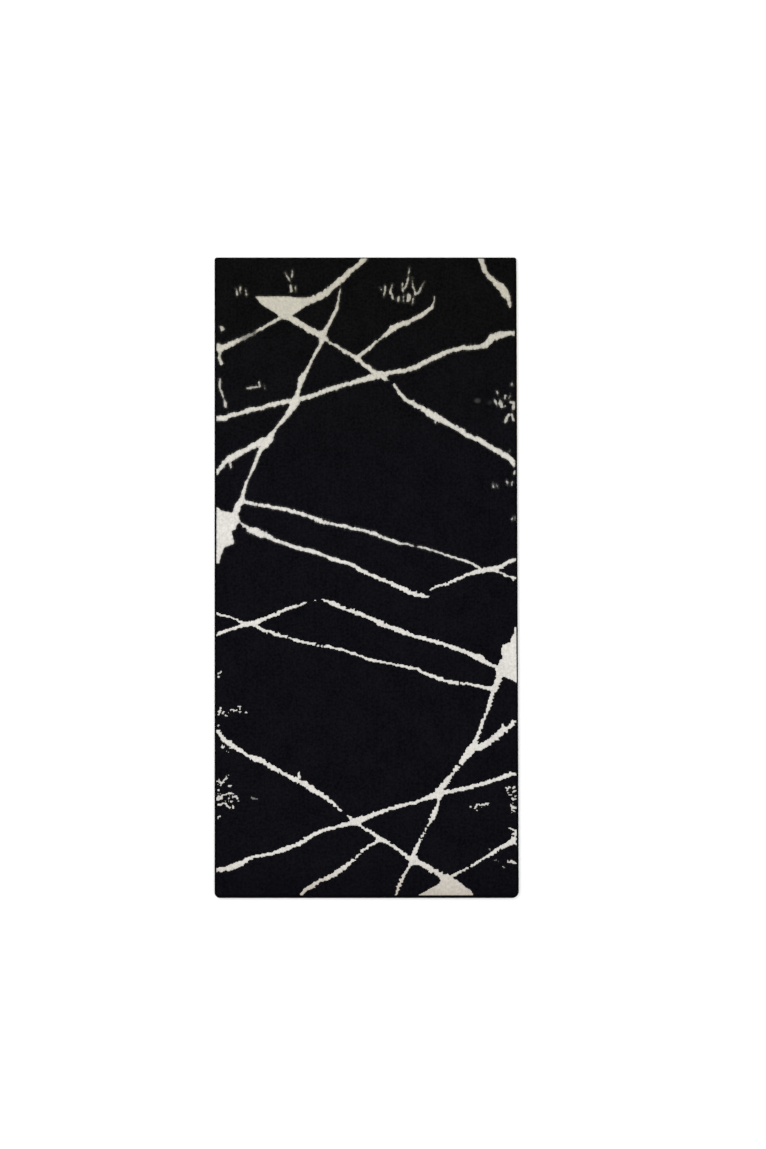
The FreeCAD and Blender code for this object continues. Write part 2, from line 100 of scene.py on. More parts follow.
def right_of_field(y):
    """Where the pile ends on the right. The rug narrows a little towards its head."""
    along = (y - cad_low[1]) / (cad_high[1] - cad_low[1])
    return corners["foot_right"][0] - edge_width["right"] - lean_in * along


def from_corner(name, x, y):
    """Distances outwards from the middle of a corner's arc, across and along the rug."""
    end, side = name.split("_")
    middle = corners[name] - CORNER_RADIUS[name] * (OUTWARD[end] + OUTWARD[side])
    return middle, (x - middle[0]) * OUTWARD[side].sum(), (y - middle[1]) * OUTWARD[end].sum()


# %% [markdown]
# ## Turning arrays into pieces
# Every piece of the rug is built in the same way: an array of points, some arrays of faces, one material, and
# the names of the frame's solids that it stands for, which are then hidden. A closed mesh is turned the right
# way out by its own volume, which is negative when the faces look inwards.

# %% A helper that makes one piece
finishes = {}  # one material for each slot, filled in below


def make_piece(name, points, faces, stands_for, slot, smooth, shade=None):
    """A mesh from points and arrays of faces, riding on the rug. smooth has one flag per array."""
    corners_of = np.concatenate([f.ravel() for f in faces])
    sizes = np.concatenate([np.full(len(f), f.shape[1]) for f in faces])
    rounded = np.concatenate([np.full(len(f), s) for f, s in zip(faces, smooth)])
    mesh = bpy.data.meshes.new(name)
    mesh.vertices.add(len(points))
    mesh.vertices.foreach_set("co", np.asarray(points, np.float32).ravel())
    mesh.loops.add(len(corners_of))
    mesh.loops.foreach_set("vertex_index", corners_of.astype(np.int32))
    mesh.polygons.add(len(sizes))
    mesh.polygons.foreach_set("loop_start", (np.cumsum(sizes) - sizes).astype(np.int32))
    mesh.polygons.foreach_set("use_smooth", rounded.astype(bool))
    mesh.update(calc_edges=True)
    if shade is not None:
        mesh.attributes.new("shade", "FLOAT", "POINT").data.foreach_set("value", shade.astype(np.float32))
    mesh.calc_loop_triangles()
    tri = np.zeros(len(mesh.loop_triangles) * 3, np.int32)
    mesh.loop_triangles.foreach_get("vertices", tri)
    a, b, c = (np.asarray(points)[tri.reshape(-1, 3)[:, k]] for k in range(3))
    if np.einsum("ij,ij->i", a, np.cross(b, c)).sum() < 0:
        mesh.flip_normals()
    mesh.validate()
    piece = bpy.data.objects.new(name, mesh)
    bpy.context.scene.collection.objects.link(piece)
    mesh.materials.append(finishes[slot])
    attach(piece, "root")
    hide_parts(*stands_for)
    return piece


# %% [markdown]
# ## Shared finishes
# Yarn is never one flat colour. Each tuft took up a little more or less dye, the fibres at its
# tip catch the light, and the loom leaves faint lines along the rug. Three node groups hold what
# several materials share: the tone of dyed yarn, the relief of loose fibres, and the relief of a
# plain weave. They work in the rug's own coordinates in metres, so the grain has its true size.
# The tone group takes three colours of one yarn: its own in the middle, and darker, warmer ones at its head
# and at its foot, which are painted shade of uneven light.

# %% Helpers for node trees
def add(tree, kind, **settings):
    node = tree.nodes.new(kind)
    for key, value in settings.items():
        setattr(node, key, value)
    return node


def new_group(name, inputs, output):
    """An empty node group with number or colour inputs and one output."""
    tree = bpy.data.node_groups.new(name, "ShaderNodeTree")
    for label, default in inputs.items():
        kind = "NodeSocketFloat" if isinstance(default, float) else "NodeSocketColor"
        tree.interface.new_socket(label, in_out="INPUT", socket_type=kind).default_value = default
    label, kind = output
    tree.interface.new_socket(label, in_out="OUTPUT", socket_type=kind)
    entry = add(tree, "NodeGroupInput")
    leave = add(tree, "NodeGroupOutput")
    place = add(tree, "ShaderNodeTexCoord").outputs["Object"]
    return tree, entry.outputs, leave.inputs[label], place


def noise(tree, place, scale, stretch=(1.0, 1.0, 1.0), detail=2.0):
    """Noise of scale cells per metre, drawn out along an axis where stretch is under 1."""
    mapping = add(tree, "ShaderNodeMapping")
    mapping.inputs["Scale"].default_value = stretch
    grain = add(tree, "ShaderNodeTexNoise")
    grain.inputs["Scale"].default_value = scale
    grain.inputs["Detail"].default_value = detail
    tree.links.new(place, mapping.inputs["Vector"])
    tree.links.new(mapping.outputs["Vector"], grain.inputs["Vector"])
    return grain.outputs["Fac"]


def calc(tree, operation, a, b):
    node = add(tree, "ShaderNodeMath", operation=operation)
    for socket, value in zip(node.inputs, (a, b)):
        if isinstance(value, (int, float)):
            socket.default_value = value
        else:
            tree.links.new(value, socket)
    return node.outputs[0]


def spread(tree, value, low, high):
    """Noise lies mostly between 0.3 and 0.7: spread that range over low to high."""
    node = add(tree, "ShaderNodeMapRange")
    for label, number in (("From Min", 0.3), ("From Max", 0.7), ("To Min", low), ("To Max", high)):
        node.inputs[label].default_value = number
    tree.links.new(value, node.inputs["Value"])
    return node.outputs["Result"]


def blend(tree, amount, a, b, mode="MIX"):
    node = add(tree, "ShaderNodeMix", data_type="RGBA", blend_type=mode)
    for socket, value in ((node.inputs["Factor"], amount), (node.inputs[6], a), (node.inputs[7], b)):
        if isinstance(value, (float, tuple)):
            socket.default_value = value
        else:
            tree.links.new(value, socket)
    return node.outputs[2]


# %% Tone of dyed yarn, with painted shade at the ends
yarn_tone_and_end_shade, given, result, place = new_group(
    "yarn tone and end shade",
    {
        "Yarn": (0.5, 0.5, 0.5, 1.0),
        "Head yarn": (0.4, 0.4, 0.4, 1.0),
        "Foot yarn": (0.4, 0.4, 0.4, 1.0),
        "Mottle": 0.2,
        "Streak": 0.1,
    },
    ("Color", "NodeSocketColor"),
)
HEAD_SHADE_SPAN = (0.20, 0.78)  # along the rug, from where the painted shade starts to where it is full
FOOT_SHADE_SPAN = (-0.74, -0.83)
MOTTLE_CELLS = 165.0  # per metre, so each is two or three tufts wide
BROAD_CELLS = 14.0
BROAD_SHARE = 0.35  # how strong the broad clouds are beside the mottle
STREAK_CELLS = 330.0
ALONG_LOOM = (1.0, 0.02, 1.0)  # draws noise out along the rug
xyz = add(yarn_tone_and_end_shade, "ShaderNodeSeparateXYZ")
yarn_tone_and_end_shade.links.new(place, xyz.inputs[0])
base = given["Yarn"]
# painted shade: each yarn's colour is blended towards its darker head and foot colours near the two ends
for label, (start, end) in (("Head yarn", HEAD_SHADE_SPAN), ("Foot yarn", FOOT_SHADE_SPAN)):
    shade_ramp = add(yarn_tone_and_end_shade, "ShaderNodeMapRange")
    shade_ramp.inputs["From Min"].default_value = start
    shade_ramp.inputs["From Max"].default_value = end
    yarn_tone_and_end_shade.links.new(xyz.outputs["Y"], shade_ramp.inputs["Value"])
    base = blend(yarn_tone_and_end_shade, shade_ramp.outputs["Result"], base, given[label])
mottle = spread(yarn_tone_and_end_shade, noise(yarn_tone_and_end_shade, place, MOTTLE_CELLS, detail=3.0), -1.0, 1.0)
broad = spread(yarn_tone_and_end_shade, noise(yarn_tone_and_end_shade, place, BROAD_CELLS), -BROAD_SHARE, BROAD_SHARE)
streak = spread(yarn_tone_and_end_shade, noise(yarn_tone_and_end_shade, place, STREAK_CELLS, ALONG_LOOM, 1.0), -1.0, 1.0)
mottle = calc(yarn_tone_and_end_shade, "MULTIPLY", calc(yarn_tone_and_end_shade, "ADD", mottle, broad), given["Mottle"])
streak = calc(yarn_tone_and_end_shade, "MULTIPLY", streak, given["Streak"])
factor = calc(yarn_tone_and_end_shade, "ADD", calc(yarn_tone_and_end_shade, "ADD", mottle, streak), 1.0)
grey = add(yarn_tone_and_end_shade, "ShaderNodeCombineColor")
for channel in grey.inputs:
    yarn_tone_and_end_shade.links.new(factor, channel)
yarn_tone_and_end_shade.links.new(blend(yarn_tone_and_end_shade, 1.0, base, grey.outputs[0], "MULTIPLY"), result)
print("group:", yarn_tone_and_end_shade.name, len(yarn_tone_and_end_shade.nodes), "nodes")

# %% Relief of loose fibres and of a plain weave
COARSE_CELLS = 900.0  # per metre: about a yarn's width
FINE_CELLS = 2600.0
SLUB_CELLS = 120.0
ALONG_THREAD = (1.0, 0.1, 1.0)
fibre_relief, given, result, place = new_group(
    "fibre relief", {"Coarse": 0.6, "Fine": 0.4}, ("Height", "NodeSocketFloat")
)
coarse = calc(fibre_relief, "MULTIPLY", noise(fibre_relief, place, COARSE_CELLS), given["Coarse"])
fine = calc(fibre_relief, "MULTIPLY", noise(fibre_relief, place, FINE_CELLS, detail=1.0), given["Fine"])
fibre_relief.links.new(calc(fibre_relief, "ADD", coarse, fine), result)

weave_relief, given, result, place = new_group(
    "weave relief", {"Threads per metre": 500.0, "Slub": 0.3}, ("Height", "NodeSocketFloat")
)
xyz = add(weave_relief, "ShaderNodeSeparateXYZ")
weave_relief.links.new(place, xyz.inputs[0])
threads = []
for axis in ("X", "Y"):
    turn = calc(weave_relief, "MULTIPLY", xyz.outputs[axis], given["Threads per metre"])
    turn = calc(weave_relief, "MULTIPLY", turn, math.pi)
    threads.append(calc(weave_relief, "SINE", turn, 0.0))
cross = calc(weave_relief, "MULTIPLY", *threads)
slub = noise(weave_relief, place, SLUB_CELLS, ALONG_THREAD)
slub = calc(weave_relief, "MULTIPLY", slub, given["Slub"])
weave_relief.links.new(calc(weave_relief, "ADD", cross, slub), result)
print("groups:", fibre_relief.name, "and", weave_relief.name)

# %% [markdown]
# ## Materials
# Black pile swallows light: the light that enters between the tufts hardly comes out again, so its
# colour is nearly nothing, and its shine has to be very low too, or a pale room would turn it grey.
# Cream pile scatters light. Painted shade makes it warmer and duller at the two ends than in the middle, and
# the black is a little bluer in the middle and at the foot than at the head. Where a tuft holds some of both
# yarns, an attribute called shade says how much of it is pale.

# %% One builder for all cloth and yarn
# The colours of each yarn: its own in the middle, then at the head and at the foot with painted shade
BLACK = ((0.0045, 0.0042, 0.0060, 1.0), (0.0041, 0.0040, 0.0040, 1.0), (0.0040, 0.0037, 0.0055, 1.0))
CREAM = ((0.660, 0.642, 0.598, 1.0), (0.480, 0.454, 0.374, 1.0), (0.510, 0.463, 0.405, 1.0))
SERGING = ((0.0030, 0.0029, 0.0033, 1.0), (0.0028, 0.0027, 0.0030, 1.0), (0.0028, 0.0027, 0.0030, 1.0))
END_SHADE_TINT = (0.94, 0.92, 0.90)  # painted shade of a plain material at both ends: a little darker and warmer
ROUGHNESS = 0.92
SHEEN_ROUGHNESS = 0.45
BUMP_STRENGTH = 0.6


def tone(tree, colors, mottle, streak):
    """The tone of one yarn. colors has its own colour in the middle, then its colours with painted shade at
    the head and at the foot.
    """
    node = add(tree, "ShaderNodeGroup", node_tree=yarn_tone_and_end_shade)
    labels = ("Yarn", "Head yarn", "Foot yarn", "Mottle", "Streak")
    for label, value in zip(labels, (*colors, mottle, streak)):
        node.inputs[label].default_value = value
    return node.outputs["Color"]


def undyed(red, green, blue):
    """The three colours of a plain material: the one in its middle, and the same with painted shade at both
    ends.
    """
    ends = (END_SHADE_TINT[0] * red, END_SHADE_TINT[1] * green, END_SHADE_TINT[2] * blue, 1.0)
    return ((red, green, blue, 1.0), ends, ends)


def make_finish(name, color, relief, settings, depth, sheen, shine):
    """A rough textile shader: its colour from color(tree), its bump from a relief group."""
    material = bpy.data.materials.new(f"{name}_finish")
    material.use_nodes = True
    finishes[name] = material
    tree = material.node_tree
    shader = tree.nodes["Principled BSDF"]
    shader.inputs["Roughness"].default_value = ROUGHNESS
    shader.inputs["Specular IOR Level"].default_value = shine
    shader.inputs["Sheen Weight"].default_value = sheen
    shader.inputs["Sheen Roughness"].default_value = SHEEN_ROUGHNESS
    tree.links.new(color(tree), shader.inputs["Base Color"])
    grain = add(tree, "ShaderNodeGroup", node_tree=relief)
    for label, value in settings.items():
        grain.inputs[label].default_value = value
    bump = add(tree, "ShaderNodeBump")
    bump.inputs["Strength"].default_value = BUMP_STRENGTH
    bump.inputs["Distance"].default_value = depth
    tree.links.new(grain.outputs["Height"], bump.inputs["Height"])
    tree.links.new(bump.outputs["Normal"], shader.inputs["Normal"])
    print("material:", material.name)


def pile_color(tree):
    dark = tone(tree, BLACK, mottle=0.40, streak=0.08)
    pale = tone(tree, CREAM, mottle=0.11, streak=0.04)
    shade = add(tree, "ShaderNodeAttribute", attribute_name="shade")
    return blend(tree, shade.outputs["Fac"], dark, pale)


LOOSE = {"Coarse": 0.6, "Fine": 0.4}
make_finish("black_pile", pile_color, fibre_relief, LOOSE, depth=0.3 * MM, sheen=0.0, shine=0.0)
make_finish("cream_pile", pile_color, fibre_relief, LOOSE, depth=0.3 * MM, sheen=0.03, shine=0.05)
make_finish(
    "edge_yarn", lambda tree: tone(tree, SERGING, mottle=0.3, streak=0.0),
    fibre_relief, {"Coarse": 0.3, "Fine": 0.7}, depth=0.15 * MM, sheen=0.0, shine=0.0,
)
make_finish(
    "backing", lambda tree: tone(tree, undyed(0.50, 0.43, 0.33), mottle=0.12, streak=0.08),
    weave_relief, {"Threads per metre": 420.0, "Slub": 0.4}, depth=0.3 * MM, sheen=0.05, shine=0.15,
)
make_finish(
    "latex", lambda tree: tone(tree, undyed(0.55, 0.52, 0.44), mottle=0.1, streak=0.0),
    fibre_relief, {"Coarse": 0.9, "Fine": 0.1}, depth=0.2 * MM, sheen=0.0, shine=0.35,
)
make_finish(
    "ground_cloth", lambda tree: tone(tree, undyed(0.10, 0.095, 0.085), mottle=0.15, streak=0.1),
    weave_relief, {"Threads per metre": 760.0, "Slub": 0.2}, depth=0.25 * MM, sheen=0.05, shine=0.15,
)
make_finish(
    "cord", lambda tree: tone(tree, undyed(0.42, 0.38, 0.31), mottle=0.15, streak=0.0),
    fibre_relief, LOOSE, depth=0.15 * MM, sheen=0.1, shine=0.15,
)

# %% [markdown]
# ## The three cloth layers
# Backing, latex and ground cloth are flat sheets of about a millimetre. Laid on a floor a cloth is
# never quite flat: it has slack of a few tenths of a millimetre. A coarse grid with low waves gives
# that, and the fine weave is in the material. On the right the backing was cut a little wide, and
# a pale raw edge of it peeks out from under the binding over part of the head half.

# %% Low waves
def smooth_noise(shape, cells, generator):
    """Random values on a coarse lattice, eased over an array, from -1 to 1. cells is the lattice."""
    lattice = generator.uniform(-1, 1, (cells[0] + 2, cells[1] + 2))
    v = np.linspace(0, cells[0], shape[0], endpoint=False)
    u = np.linspace(0, cells[1], shape[1], endpoint=False)
    j, i = v.astype(int)[:, None], u.astype(int)[None, :]
    fv, fu = (v % 1)[:, None], (u % 1)[None, :]
    fv, fu = fv * fv * (3 - 2 * fv), fu * fu * (3 - 2 * fu)
    low = lattice[j, i] * (1 - fu) + lattice[j, i + 1] * fu
    high = lattice[j + 1, i] * (1 - fu) + lattice[j + 1, i + 1] * fu
    return low * (1 - fv) + high * fv


def ease(value, start, end):
    t = np.clip((value - start) / (end - start), 0, 1)
    return t * t * (3 - 2 * t)


# %% Lay the sheets
SHEET_GRID = 12 * MM
WAVE = 0.12 * MM
WAVE_LATTICE = (14, 7)  # waves along the rug and across it
LIP = 1.0 * MM  # how far the raw edge of the backing shows
RAGGED = 0.25  # the share of the lip that the fraying takes or adds
LIP_STARTS = (0.27, 0.30)  # along the rug, from no lip to a full one
LIP_ENDS = (0.81, 0.835)


def rounded(x, y, inset):
    """Draws a sheet's four corners in to the rug's round corners, inset from the outline."""
    for name, radius in CORNER_RADIUS.items():
        middle, out_x, out_y = from_corner(name, x, y)
        too_far = np.maximum(np.hypot(out_x, out_y) / max(radius - inset, MM), 1)
        shrink = np.where((out_x > 0) & (out_y > 0), 1 / too_far, 1)
        x, y = middle[0] + (x - middle[0]) * shrink, middle[1] + (y - middle[1]) * shrink
    return x, y


def make_sheet(name, node, slot, lip=0.0):
    """A closed thin sheet over the node's outline. lip is how far a raw edge shows on the right."""
    low, high = (np.array(p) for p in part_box(node))
    inset = corners["foot_right"][0] - high[0]
    ny, nx = (int(round((high[k] - low[k]) / SHEET_GRID)) for k in (1, 0))
    v, u = np.meshgrid(np.linspace(0, 1, ny + 1), np.linspace(0, 1, nx + 1), indexing="ij")
    y = low[1] + (high[1] - low[1]) * v
    right = high[0] - lean_in * v
    if lip:
        frayed = ease(y, *LIP_STARTS) * (1 - ease(y, *LIP_ENDS))
        ragged = 1 - RAGGED + RAGGED * random.uniform(-1, 1, (ny + 1, 1))
        right = right + (inset + lip * ragged) * frayed
    x, y = rounded(low[0] + (right - low[0]) * u, y, inset)
    wave = smooth_noise(x.shape, WAVE_LATTICE, random) * WAVE
    bottom = np.stack([x, y, np.full_like(x, low[2])], -1).reshape(-1, 3)
    top = np.stack([x, y, high[2] - WAVE + wave], -1).reshape(-1, 3)
    ids = np.arange((ny + 1) * (nx + 1)).reshape(ny + 1, nx + 1)
    quads = np.stack([ids[:-1, :-1], ids[:-1, 1:], ids[1:, 1:], ids[1:, :-1]], -1).reshape(-1, 4)
    ring = np.concatenate([ids[0, :-1], ids[:-1, -1], ids[-1, :0:-1], ids[:0:-1, 0]])
    after = np.roll(ring, -1)
    count = ids.size
    walls = np.stack([ring, after, after + count, ring + count], -1)
    faces = [quads + count, quads[:, ::-1], walls]
    sheet = make_piece(name, np.concatenate([bottom, top]), faces, [node], slot, (True, False, False))
    print(name, "grid", ny, "x", nx)
    return sheet


backing = make_sheet("backing", "backing_cloth", "backing", LIP)
latex = make_sheet("latex_film", "latex_coat", "latex")
ground = make_sheet("woven_ground", "ground_cloth", "ground_cloth")

# %% [markdown]
# ## The bound edge
# The edge is overlocked: black yarn is wound round and round a filler cord, about three
# millimetres to a wrap. A tube that follows the outline, ribbed once for each wrap, shows that as
# real relief. The ribs slant a little, as wound yarn does, and each wrap sits slightly differently.

# %% The outline as paths
def straight(start, end, outward, step):
    count = max(int(math.ceil(np.linalg.norm(end - start) / step)), 1)
    t = np.linspace(0, 1, count + 1)[:, None]
    return start + (end - start) * t, np.repeat(outward[None], count + 1, 0)


def turned(name, first, last, step):
    """The arc round one corner, from the side called first to the side called last."""
    end, side = name.split("_")
    radius = CORNER_RADIUS[name]
    centre = corners[name] - radius * (OUTWARD[end] + OUTWARD[side])
    t = np.linspace(0, math.pi / 2, max(int(radius * math.pi / 2 / step), 6) + 1)[:, None]
    normal = np.cos(t) * OUTWARD[first] + np.sin(t) * OUTWARD[last]
    return centre + radius * normal, normal


def chained(*parts):
    """Paths end to end, without the doubled points where they meet."""
    points = np.concatenate([p if k == 0 else p[1:] for k, (p, n) in enumerate(parts)])
    normals = np.concatenate([n if k == 0 else n[1:] for k, (p, n) in enumerate(parts)])
    return points, normals


def wrap_path(name, step):
    """Round one corner, with the short straight stretches that its wraps cover on both sides."""
    end, side = name.split("_")
    low, high = (np.array(p)[:2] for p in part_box(f"corner_wrap_{name}"))
    on_end = np.where(OUTWARD[side] > 0, low, np.where(OUTWARD[side] < 0, high, corners[name]))
    on_side = np.where(OUTWARD[end] > 0, low, np.where(OUTWARD[end] < 0, high, corners[name]))
    arc_points, arc_normals = turned(name, side, end, step)
    before = straight(on_side, arc_points[0], OUTWARD[side], step)
    after = straight(arc_points[-1], on_end, OUTWARD[end], step)
    return chained(before, (arc_points, arc_normals), after)


def side_path(side, step):
    low, high = (np.array(p)[:2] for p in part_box(f"serging_{side}"))
    if side in ("foot", "head"):
        y = corners[f"{side}_left"][1]
        return straight(np.array((low[0], y)), np.array((high[0], y)), OUTWARD[side], step)
    ends = []
    for y in (low[1], high[1]):
        along = (y - cad_low[1]) / (cad_high[1] - cad_low[1])
        x = corners[f"foot_{side}"][0] * (1 - along) + corners[f"head_{side}"][0] * along
        ends.append(np.array((x, y)))
    return straight(*ends, OUTWARD[side], step)


# %% Wind the yarn
WRAP_PITCH = 3.0 * MM
RIB_DEPTH = 0.45 * MM
RIB_SLANT = 0.35  # of a wrap, by which its top runs ahead of its outer side
WRAP_VARIES = 0.12 * MM
STEPS_PER_WRAP = 5
PROFILE_POINTS = 16
ROUNDNESS = 2.7  # 2 is an ellipse, and more is squarer
edge_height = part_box("serging_left")[1].z


def swept(points, normals, profile):
    """A tube with its own section at each point of a path. profile is (path, round, 2): in, up."""
    rows, count = profile.shape[:2]
    place = points[:, None, :] - normals[:, None, :] * profile[:, :, :1]
    xyz = np.concatenate([place, profile[:, :, 1:]], -1).reshape(-1, 3)
    ids = np.arange(rows * count).reshape(rows, count)
    beside = np.roll(ids, -1, 1)
    sides = np.stack([ids[:-1], beside[:-1], beside[1:], ids[1:]], -1).reshape(-1, 4)
    return xyz, [sides, ids[:1, ::-1], ids[-1:]]


def wound(name, node, path, widths):
    """Yarn wound round the edge along a path, whose width goes from the first to the last of widths."""
    points, normals = path
    gone = np.concatenate([[0], np.cumsum(np.linalg.norm(np.diff(points, axis=0), axis=1))])
    width = widths[0] + (widths[1] - widths[0]) * ease(gone / gone[-1], 0, 1)
    angle = np.linspace(0, 2 * math.pi, PROFILE_POINTS, endpoint=False)[None, :]
    turns = (gone / WRAP_PITCH)[:, None] + RIB_SLANT * np.sin(angle)
    wraps = int(gone[-1] / WRAP_PITCH) + 4
    own = random.uniform(-1, 1, wraps)[np.clip(turns.astype(int) + 1, 0, wraps - 1)]
    rib = np.sqrt(np.abs(np.sin(math.pi * turns)))
    sink = RIB_DEPTH * (1 - rib) + WRAP_VARIES * (1 + own) * rib
    power = 2 / ROUNDNESS
    across = np.sign(np.cos(angle)) * np.abs(np.cos(angle)) ** power
    up = np.sign(np.sin(angle)) * np.abs(np.sin(angle)) ** power
    inward = width[:, None] / 2 - across * (width[:, None] / 2 - sink)
    height = edge_height / 2 + up * (edge_height / 2 - sink)
    xyz, faces = swept(points, normals, np.stack([inward, height], -1))
    piece = make_piece(name, xyz, faces, [node], "edge_yarn", (True, False, False))
    print(name, "wraps:", wraps - 4)
    return piece


step = WRAP_PITCH / STEPS_PER_WRAP
for side in ("left", "right", "foot", "head"):
    width = edge_width[side]
    wound(f"overlock_{side}", f"serging_{side}", side_path(side, step), (width, width))
for name in corners:
    end, side = name.split("_")
    widths = (edge_width[side], edge_width[end])
    wound(f"overlock_corner_{name}", f"corner_wrap_{name}", wrap_path(name, step), widths)

# %% [markdown]
# ## The filler cord
# Inside the wraps runs a cord of three plies twisted together. It doesn't show, but the edge is
# wound on it, so it is made as what it is: a section with three lobes, turning as it goes along.

# %% Twist the cord
CORD_TWIST = 9 * MM
CORD_STEP = 1.5 * MM
PLIES = 3
CORD_POINTS = 12
BETWEEN_PLIES = 0.78  # the share of the cord's radius that is left between two plies
cord_low, cord_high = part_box("edge_cord_left")
cord_radius = (cord_high.x - cord_low.x) / 2
cord_depth = (cord_low.x + cord_high.x) / 2 - corners["foot_left"][0]
cord_level = (cord_low.z + cord_high.z) / 2


def plied(name, node, path):
    points, normals = path
    gone = np.concatenate([[0], np.cumsum(np.linalg.norm(np.diff(points, axis=0), axis=1))])
    angle = np.linspace(0, 2 * math.pi, CORD_POINTS, endpoint=False)[None, :]
    lobes = np.abs(np.cos(PLIES / 2 * (angle - 2 * math.pi * (gone / CORD_TWIST)[:, None])))
    radius = cord_radius * (BETWEEN_PLIES + (1 - BETWEEN_PLIES) * lobes)
    section = [cord_depth - radius * np.cos(angle), cord_level + radius * np.sin(angle)]
    xyz, faces = swept(points, normals, np.stack(section, -1))
    return make_piece(name, xyz, faces, [node], "cord", (True, False, False))


for side in ("left", "right"):
    foot_arc = turned(f"foot_{side}", "foot", side, CORD_STEP)[0][-1]
    head_arc = turned(f"head_{side}", side, "head", CORD_STEP)[0][0]
    along = straight(foot_arc, head_arc, OUTWARD[side], CORD_STEP)
    plied(f"cord_{side}", f"edge_cord_{side}", along)
for end in ("foot", "head"):
    first = turned(f"{end}_left", "left", end, CORD_STEP)
    last = turned(f"{end}_right", end, "right", CORD_STEP)
    between = straight(first[0][-1], last[0][0], OUTWARD[end], CORD_STEP)
    plied(f"cord_{end}", f"edge_cord_{end}", chained(first, between, last))
print("cords:", round(cord_radius / MM, 2), "mm in radius")

# %% [markdown]
# ## Where each colour of tuft stands
# A loom sets tufts in rows, here 2.74 mm apart, and each tuft is one yarn. So the pattern is a
# grid of tufts, and a slanting line between the colours becomes a fine stair. The frame holds the
# outline of each vein as a solid. Its top face is filled into a fine grid, and each tuft looks up
# the colour at its own place. The look-up place wanders by a millimetre or two: in the foot half
# from tuft to tuft, and in the head half mostly along the rug and in whole columns, which makes
# the soft, combed edges there. Teeth are then cut into the veins of the foot half. The four broad
# patches keep smooth sides. Last, tufts that the teeth left alone are taken away, and holes of one
# tuft are filled.

# %% Fill the outlines into a grid
TUFT = 2.74 * MM
FINE = TUFT / 3
columns = int(round((right_of_field(0.0) - field_low[0]) / TUFT))
rows = int(round((field_high[1] - field_low[1]) / TUFT))


def top_triangles(node):
    """The triangles of a solid's top face, seen from above."""
    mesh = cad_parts[node].data
    mesh.calc_loop_triangles()
    xyz = np.array([v.co for v in mesh.vertices])
    tri = np.array([t.vertices for t in mesh.loop_triangles])
    on_top = xyz[tri][:, :, 2].min(axis=1) > pile_top - 1e-5
    return xyz[tri[on_top]][:, :, :2]


def fill(marks, triangles, value, pitch):
    """Every grid place whose middle lies in one of the triangles takes the value."""
    for a, b, c in triangles:
        low = np.maximum(((np.minimum(np.minimum(a, b), c) - field_low[:2]) / pitch).astype(int) - 1, 0)
        high = ((np.maximum(np.maximum(a, b), c) - field_low[:2]) / pitch).astype(int) + 2
        x = field_low[0] + (np.arange(low[0], min(high[0], marks.shape[1])) + 0.5) * pitch
        y = field_low[1] + (np.arange(low[1], min(high[1], marks.shape[0])) + 0.5) * pitch
        if not len(x) or not len(y):
            continue
        x, y = np.meshgrid(x, y)
        sides = [(q[0] - p[0]) * (y - p[1]) - (q[1] - p[1]) * (x - p[0]) for p, q in ((a, b), (b, c), (c, a))]
        inside = (np.minimum.reduce(sides) >= 0) | (np.maximum.reduce(sides) <= 0)
        marks[low[1]:low[1] + len(y), low[0]:low[0] + x.shape[1]][inside] = value


names = PATTERN_NODES + DARK_NODES
pale_map = np.zeros((rows * 3 + 6, columns * 3 + 12), np.int16)
for k, node in enumerate(PATTERN_NODES):
    fill(pale_map, top_triangles(node), k + 1, FINE)
dark_map = np.zeros((rows + 1, columns + 3), np.int16)
for k, node in enumerate(DARK_NODES):
    fill(dark_map, top_triangles(node), len(PATTERN_NODES) + k + 1, TUFT)
while (dark_map == 0).any():
    for shift, axis in ((1, 0), (-1, 0), (1, 1), (-1, 1)):
        dark_map = np.where(dark_map == 0, np.roll(dark_map, shift, axis), dark_map)
print("tufts:", rows, "rows of", columns)

# %% Give each tuft its yarn
TOOTH_PITCH = 3.7  # tufts from one saw tooth to the next on the pale lines of the foot half
SAW_MIDDLE = 0.56  # over a half, so the teeth cut in more than they reach out
TOOTH_DRIFT = 5  # tufts by which the teeth leave their even spacing
TEETH = (  # which way a tuft looks for the vein, across and along the rug, and how long the teeth are
    (0, 1, 13 * MM), (0, -1, 10 * MM), (1, 0, 9 * MM), (-1, 0, 8 * MM),
)
COMBED_FROM = (-0.02, 0.10)  # along the rug: edges are jagged before this and combed after it
PATCHES = [k + 1 for k, node in enumerate(PATTERN_NODES) if node.startswith("patch_")]
FLECKS = [k + 1 for k, node in enumerate(PATTERN_NODES) if node.startswith("flecks_")]
y_mid = field_low[1] + (np.arange(rows)[:, None] + 0.5) * (field_high[1] - field_low[1]) / rows
x_share = (np.arange(columns)[None, :] + 0.5) / columns
x_mid = field_low[0] + (right_of_field(y_mid) - field_low[0]) * x_share
y_mid = np.broadcast_to(y_mid, x_mid.shape)
shape = x_mid.shape
combed = ease(y_mid, *COMBED_FROM)
wander = MM * (1.0 + 0.5 * combed) * smooth_noise(shape, (rows // 4, columns // 4), random)
jag = MM * (1.1 - 0.5 * combed)
jag_x = jag * random.uniform(-1, 1, shape)
jag_y = jag * random.uniform(-1, 1, shape)
comb = 2.6 * MM * combed * smooth_noise(shape, (rows // 9, columns), random)


def pale_at(x, y):
    """The pale node at each place, or 0."""
    i = np.clip(((x - field_low[0]) / FINE).astype(int), 0, pale_map.shape[1] - 1)
    j = np.clip(((y - field_low[1]) / FINE).astype(int), 0, pale_map.shape[0] - 1)
    return pale_map[j, i]


